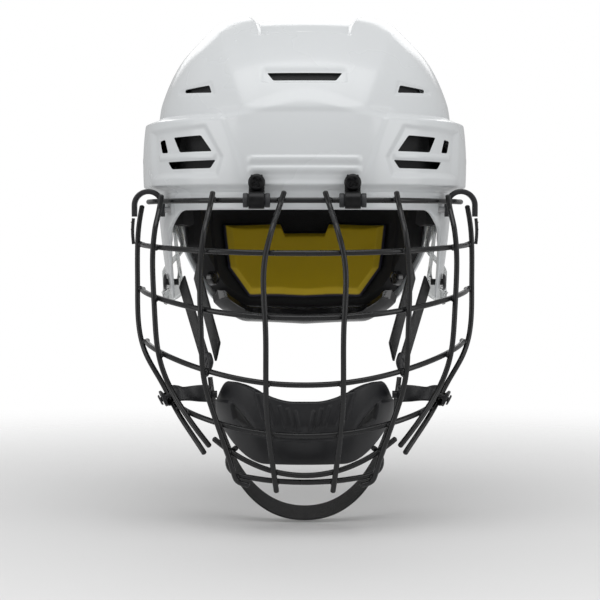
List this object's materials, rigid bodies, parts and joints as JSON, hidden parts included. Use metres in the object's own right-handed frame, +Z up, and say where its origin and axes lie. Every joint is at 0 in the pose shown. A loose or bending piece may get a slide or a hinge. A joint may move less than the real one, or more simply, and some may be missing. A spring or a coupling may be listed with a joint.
{
  "type": "hockey helmet with cage",
  "caption": "White hockey helmet with a hinged black wire cage, padded chin cup, webbing chin strap and a size-adjusting rear shell.",
  "frame": {"origin": "middle of the crown pad's flat underside, where the helmet rests on the head", "axes": "+Z up as worn, the face looks along -Y, +X to the viewer's right"},
  "size_m": [0.2372, 0.3143, 0.3482],
  "materials": {
    "shell_white": "glossy moulded shell",
    "cage_wire": "black coated steel wire",
    "black_steel": "blackened steel",
    "plain_steel": "plated steel",
    "grey_rubber": "soft rubber sleeve",
    "black_plastic": "fine textured moulded plastic",
    "liner_foam": "closed cell foam",
    "pad_fabric": "brushed fabric over foam",
    "rear_pad_yellow": "moulded foam, satin",
    "clear_guard": "clear plastic",
    "webbing": "ribbed woven webbing"
  },
  "bodies": {
    "helmet": {"front_shell": "shell_white", "front_liner": "liner_foam", "brow_pad": "pad_fabric", "side_liner_left": "liner_foam", "side_liner_right": "liner_foam", "crown_liner": "liner_foam", "crown_pad": "pad_fabric", "ear_guard_left": "clear_guard", "ear_guard_right": "clear_guard", "clip_left": "black_steel", "clip_right": "black_steel", "clip_sleeve_left": "grey_rubber", "clip_sleeve_right": "grey_rubber", "clip_screw_left": "black_steel", "clip_screw_right": "black_steel", "clip_nut_left": "plain_steel", "clip_nut_right": "plain_steel", "side_hook_left": "black_plastic", "side_hook_right": "black_plastic", "hook_screw_left": "plain_steel", "hook_screw_right": "plain_steel", "hook_strap_left": "webbing", "hook_strap_right": "webbing", "size_screw_left": "black_steel", "size_screw_right": "black_steel", "strap_anchor_left": "black_plastic", "strap_anchor_right": "black_plastic", "strap_front_left": "webbing", "strap_front_right": "webbing", "strap_rear_left": "webbing", "strap_rear_right": "webbing", "strap_slider_left": "black_plastic", "strap_slider_right": "black_plastic", "chin_strap": "webbing"},
    "rear": {"rear_shell": "shell_white", "rear_liner": "liner_foam", "rear_pad": "rear_pad_yellow", "nape_trim": "black_plastic"},
    "cage": {"top_wire": "cage_wire", "cross_wire_1": "cage_wire", "cross_wire_2": "cage_wire", "cross_wire_3": "cage_wire", "cross_wire_4": "cage_wire", "chin_wire_1": "cage_wire", "chin_wire_2": "cage_wire", "inner_upright_left": "cage_wire", "inner_upright_right": "cage_wire", "outer_upright_left": "cage_wire", "outer_upright_right": "cage_wire", "side_upright_left": "cage_wire", "side_upright_right": "cage_wire", "edge_wire_left": "cage_wire", "edge_wire_right": "cage_wire", "chin_arm_left": "black_plastic", "chin_arm_right": "black_plastic", "arm_button_left": "black_plastic", "arm_button_right": "black_plastic"},
    "chin": {"chin_cup": "black_plastic", "chin_pad": "pad_fabric"}
  },
  "joints": [
    {"name": "cage_flip", "type": "hinge", "parent": "helmet", "child": "cage", "pos_m": [0, -0.1372, -0.1], "axis": [-1, 0, 0], "range_deg": [0, 100]},
    {"name": "size_slide", "type": "slide", "parent": "helmet", "child": "rear", "axis": [0, 1, 0], "range_m": [0, 0.012]},
    {"name": "chin_tilt", "type": "hinge", "parent": "cage", "child": "chin", "pos_m": [0, -0.107, -0.229], "axis": [-1, 0, 0], "range_deg": [-10, 10]}
  ]
}
